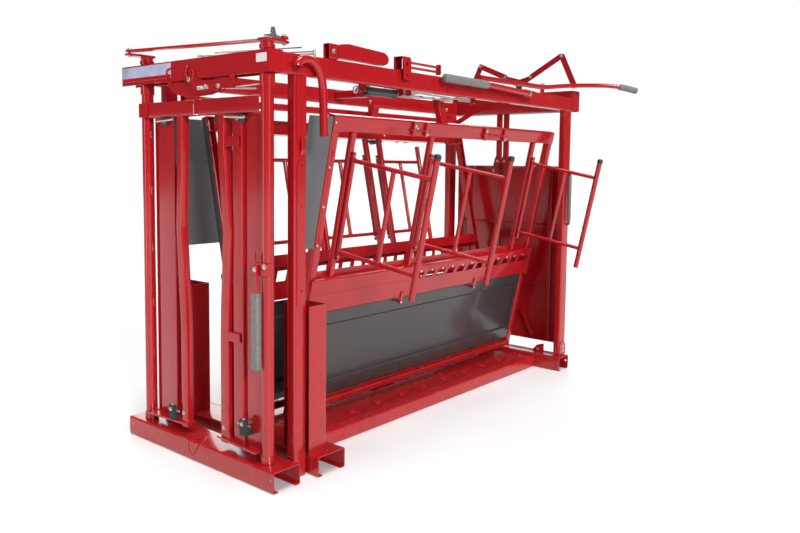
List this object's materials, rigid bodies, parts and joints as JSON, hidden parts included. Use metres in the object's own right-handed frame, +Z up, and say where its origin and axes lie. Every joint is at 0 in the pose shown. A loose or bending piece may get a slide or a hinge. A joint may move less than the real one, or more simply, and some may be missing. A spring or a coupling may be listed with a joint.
{
  "type": "cattle squeeze chute",
  "caption": "Manual cattle squeeze chute with a swinging headgate, V-shaped squeeze sides, side access gates and a split tailgate.",
  "frame": {"origin": "underside of the floor cross member at mid-length, on the centre line", "axes": "+X towards the tail end, +Y towards the far side, +Z up"},
  "size_m": [3.2906, 1.58, 2.3444],
  "materials": {
    "red_paint": "gloss red enamel",
    "black_paint": "semi-gloss black",
    "grey_paint": "satin grey",
    "grey_vinyl": "matt vinyl sleeve",
    "rubber": "matt"
  },
  "bodies": {
    "frame": {"head_base_channel": "red_paint", "second_base_channel": "red_paint", "tail_base_channel": "red_paint", "base_rail_near": "red_paint", "base_rail_far": "red_paint", "floor_cross_member": "red_paint", "corner_post_near": "red_paint", "corner_post_far": "red_paint", "tail_post_near": "red_paint", "tail_post_far": "red_paint", "top_rail_near": "red_paint", "top_rail_far": "red_paint", "box_cover_near": "red_paint", "box_cover_far": "red_paint", "head_top_beam": "red_paint", "tail_top_beam": "red_paint", "mid_top_beam": "red_paint", "far_hanger_rail": "red_paint", "lever_bracket": "red_paint", "rope_paddle": "red_paint", "tail_hand_bar": "red_paint", "friction_lock": "black_paint"},
    "leaf_near": {"gate_post_near": "red_paint", "gate_leaf_near": "red_paint", "gate_bumper_near": "rubber"},
    "leaf_far": {"gate_post_far": "red_paint", "gate_leaf_far": "red_paint", "gate_bumper_far": "rubber"},
    "tie_bar": {"gate_tie_bar": "red_paint"},
    "hand_lever": {"gate_hand_lever": "red_paint", "gate_hand_grip": "grey_vinyl"},
    "latch_pawl": {"head_latch_pawl": "red_paint"},
    "crook_handle": {"head_crook_handle": "red_paint"},
    "side_near": {"squeeze_side_near": "red_paint", "shoulder_sheet_near": "grey_paint"},
    "side_far": {"squeeze_side_far": "red_paint", "shoulder_sheet_far": "grey_paint"},
    "panel_near": {"drop_panel_near": "black_paint"},
    "panel_far": {"drop_panel_far": "black_paint"},
    "turn_latch_near_1": {"drop_latch_near_1": "red_paint"},
    "turn_latch_near_2": {"drop_latch_near_2": "red_paint"},
    "turn_latch_far_1": {"drop_latch_far_1": "red_paint"},
    "turn_latch_far_2": {"drop_latch_far_2": "red_paint"},
    "side_gate_near_1": {"access_gate_near_1": "red_paint"},
    "side_gate_near_2": {"access_gate_near_2": "red_paint"},
    "side_gate_near_3": {"access_gate_near_3": "red_paint"},
    "side_gate_far_1": {"access_gate_far_1": "red_paint"},
    "side_gate_far_2": {"access_gate_far_2": "red_paint"},
    "side_gate_far_3": {"access_gate_far_3": "red_paint"},
    "squeeze_arm": {"squeeze_lever": "red_paint", "squeeze_lever_grip": "grey_vinyl"},
    "tail_half_near": {"tailgate_near": "red_paint"},
    "tail_half_far": {"tailgate_far": "red_paint"},
    "tail_arm": {"tailgate_lever": "red_paint", "tailgate_lever_grip": "grey_vinyl"},
    "tail_rocker": {"tailgate_rocker": "red_paint"},
    "tail_crank_near": {"tailgate_crank_near": "red_paint"},
    "tail_link_near": {"tailgate_link_near": "red_paint"},
    "tail_crank_far": {"tailgate_crank_far": "red_paint"},
    "tail_link_far": {"tailgate_link_far": "red_paint"}
  },
  "joints": [
    {"name": "leaf_near_swing", "type": "hinge", "parent": "frame", "child": "leaf_near", "pos_m": [-1.463, -0.4835, 1], "axis": [0, 0, 1], "range_deg": [0, 80]},
    {"name": "leaf_far_swing", "type": "hinge", "parent": "frame", "child": "leaf_far", "pos_m": [-1.463, 0.4835, 1], "axis": [0, 0, -1], "range_deg": [0, 80]},
    {"name": "tie_bar_turn", "type": "hinge", "parent": "leaf_near", "child": "tie_bar", "pos_m": [-1.363, -0.4835, 2.07], "axis": [0, 0, -1], "range_deg": [0, 92]},
    {"name": "crook_swing", "type": "hinge", "parent": "frame", "child": "crook_handle", "pos_m": [-1.345, -0.5675, 1.957], "axis": [0, 1, 0], "range_deg": [0, 60]},
    {"name": "hand_lever_swing", "type": "hinge", "parent": "leaf_near", "child": "hand_lever", "pos_m": [-1.512, -0.4585, 1.015], "axis": [1, 0, 0], "range_deg": [-6, 14]},
    {"name": "pawl_lift", "type": "hinge", "parent": "frame", "child": "latch_pawl", "pos_m": [-1.463, -0.0675, 1.868], "axis": [1, 0, 0], "range_deg": [-8, 8]},
    {"name": "squeeze_near_tilt", "type": "hinge", "parent": "frame", "child": "side_near", "pos_m": [0, -0.07295, 0.13136], "axis": [-1, 0, 0], "range_deg": [0, 7]},
    {"name": "squeeze_far_tilt", "type": "hinge", "parent": "frame", "child": "side_far", "pos_m": [0, 0.07295, 0.13136], "axis": [1, 0, 0], "range_deg": [0, 7]},
    {"name": "squeeze_lever_swing", "type": "hinge", "parent": "frame", "child": "squeeze_arm", "pos_m": [0.67, -0.5895, 1.972], "axis": [0, 1, 0], "range_deg": [0, 75]},
    {"name": "drop_near_open", "type": "hinge", "parent": "side_near", "child": "panel_near", "pos_m": [0, -0.10142, 0.14985], "axis": [1, 0, 0], "range_deg": [0, 80]},
    {"name": "drop_far_open", "type": "hinge", "parent": "side_far", "child": "panel_far", "pos_m": [0, 0.10142, 0.14985], "axis": [-1, 0, 0], "range_deg": [0, 80]},
    {"name": "turn_latch_near_1_turn", "type": "hinge", "parent": "panel_near", "child": "turn_latch_near_1", "pos_m": [-0.205, -0.23194, 0.66292], "axis": [0, -0.9781, -0.2079], "range_deg": [-90, 90]},
    {"name": "turn_latch_near_2_turn", "type": "hinge", "parent": "panel_near", "child": "turn_latch_near_2", "pos_m": [0.58, -0.23194, 0.66292], "axis": [0, -0.9781, -0.2079], "range_deg": [-90, 90]},
    {"name": "turn_latch_far_1_turn", "type": "hinge", "parent": "panel_far", "child": "turn_latch_far_1", "pos_m": [-0.205, 0.23194, 0.66292], "axis": [0, 0.9781, -0.2079], "range_deg": [-90, 90]},
    {"name": "turn_latch_far_2_turn", "type": "hinge", "parent": "panel_far", "child": "turn_latch_far_2", "pos_m": [0.58, 0.23194, 0.66292], "axis": [0, 0.9781, -0.2079], "range_deg": [-90, 90]},
    {"name": "side_gate_near_1_swing", "type": "hinge", "parent": "side_near", "child": "side_gate_near_1", "pos_m": [-0.815, -0.34928, 1.25343], "axis": [0, 0.2079, -0.9781], "range_deg": [-76, 34]},
    {"name": "side_gate_near_2_swing", "type": "hinge", "parent": "side_near", "child": "side_gate_near_2", "pos_m": [-0.14, -0.34928, 1.25343], "axis": [0, 0.2079, -0.9781], "range_deg": [-71, 39]},
    {"name": "side_gate_near_3_swing", "type": "hinge", "parent": "side_near", "child": "side_gate_near_3", "pos_m": [1.05, -0.34928, 1.25343], "axis": [0, -0.2079, 0.9781], "range_deg": [-100, 20]},
    {"name": "side_gate_far_1_swing", "type": "hinge", "parent": "side_far", "child": "side_gate_far_1", "pos_m": [-0.815, 0.34928, 1.25343], "axis": [0, 0.2079, 0.9781], "range_deg": [0, 88]},
    {"name": "side_gate_far_2_swing", "type": "hinge", "parent": "side_far", "child": "side_gate_far_2", "pos_m": [0.16, 0.34928, 1.25343], "axis": [0, -0.2079, -0.9781], "range_deg": [0, 88]},
    {"name": "side_gate_far_3_swing", "type": "hinge", "parent": "side_far", "child": "side_gate_far_3", "pos_m": [0.3, 0.34928, 1.25343], "axis": [0, 0.2079, 0.9781], "range_deg": [0, 88]},
    {"name": "tail_near_slide", "type": "slide", "parent": "frame", "child": "tail_half_near", "axis": [0, -1, 0], "range_m": [0, 0.42]},
    {"name": "tail_far_slide", "type": "slide", "parent": "frame", "child": "tail_half_far", "axis": [0, 1, 0], "range_m": [0, 0.42]},
    {"name": "tail_lever_swing", "type": "hinge", "parent": "frame", "child": "tail_arm", "pos_m": [0.966, -0.5155, 2.044], "axis": [0, 0, -1], "range_deg": [0, 36]},
    {"name": "tail_rocker_turn", "type": "hinge", "parent": "frame", "child": "tail_rocker", "pos_m": [1.422, -0.0625, 2.125], "axis": [1, 0, 0], "range_deg": [0, 12]},
    {"name": "tail_crank_near_turn", "type": "hinge", "parent": "frame", "child": "tail_crank_near", "pos_m": [1.422, -0.5155, 2.09], "axis": [-1, 0, 0], "range_deg": [0, 1]},
    {"name": "tail_link_near_turn", "type": "hinge", "parent": "tail_crank_near", "child": "tail_link_near", "pos_m": [1.422, -0.4075, 2.318], "axis": [-1, 0, 0], "range_deg": [0, 4.1]},
    {"name": "tail_crank_far_turn", "type": "hinge", "parent": "frame", "child": "tail_crank_far", "pos_m": [1.422, 0.4125, 2.09], "axis": [1, 0, 0], "range_deg": [0, 2.1]},
    {"name": "tail_link_far_turn", "type": "hinge", "parent": "tail_crank_far", "child": "tail_link_far", "pos_m": [1.422, 0.3125, 2.292], "axis": [-1, 0, 0], "range_deg": [0, 9]}
  ],
  "couplings": [
    {"joint": "leaf_far_swing", "follows": "leaf_near_swing", "ratio": 1},
    {"joint": "tie_bar_turn", "follows": "leaf_near_swing", "ratio": 1.13},
    {"joint": "crook_swing", "follows": "leaf_near_swing", "ratio": 0.7},
    {"joint": "squeeze_far_tilt", "follows": "squeeze_near_tilt", "ratio": 1},
    {"joint": "squeeze_lever_swing", "follows": "squeeze_near_tilt", "ratio": 10.7},
    {"joint": "tail_far_slide", "follows": "tail_near_slide", "ratio": 1},
    {"joint": "tail_lever_swing", "follows": "tail_near_slide", "rad_per_m": 1.45},
    {"joint": "tail_rocker_turn", "follows": "tail_near_slide", "rad_per_m": 0.49368},
    {"joint": "tail_crank_near_turn", "follows": "tail_near_slide", "rad_per_m": 0.02493},
    {"joint": "tail_link_near_turn", "follows": "tail_near_slide", "rad_per_m": 0.15376},
    {"joint": "tail_crank_far_turn", "follows": "tail_near_slide", "rad_per_m": 0.07064},
    {"joint": "tail_link_far_turn", "follows": "tail_near_slide", "rad_per_m": 0.35738}
  ]
}
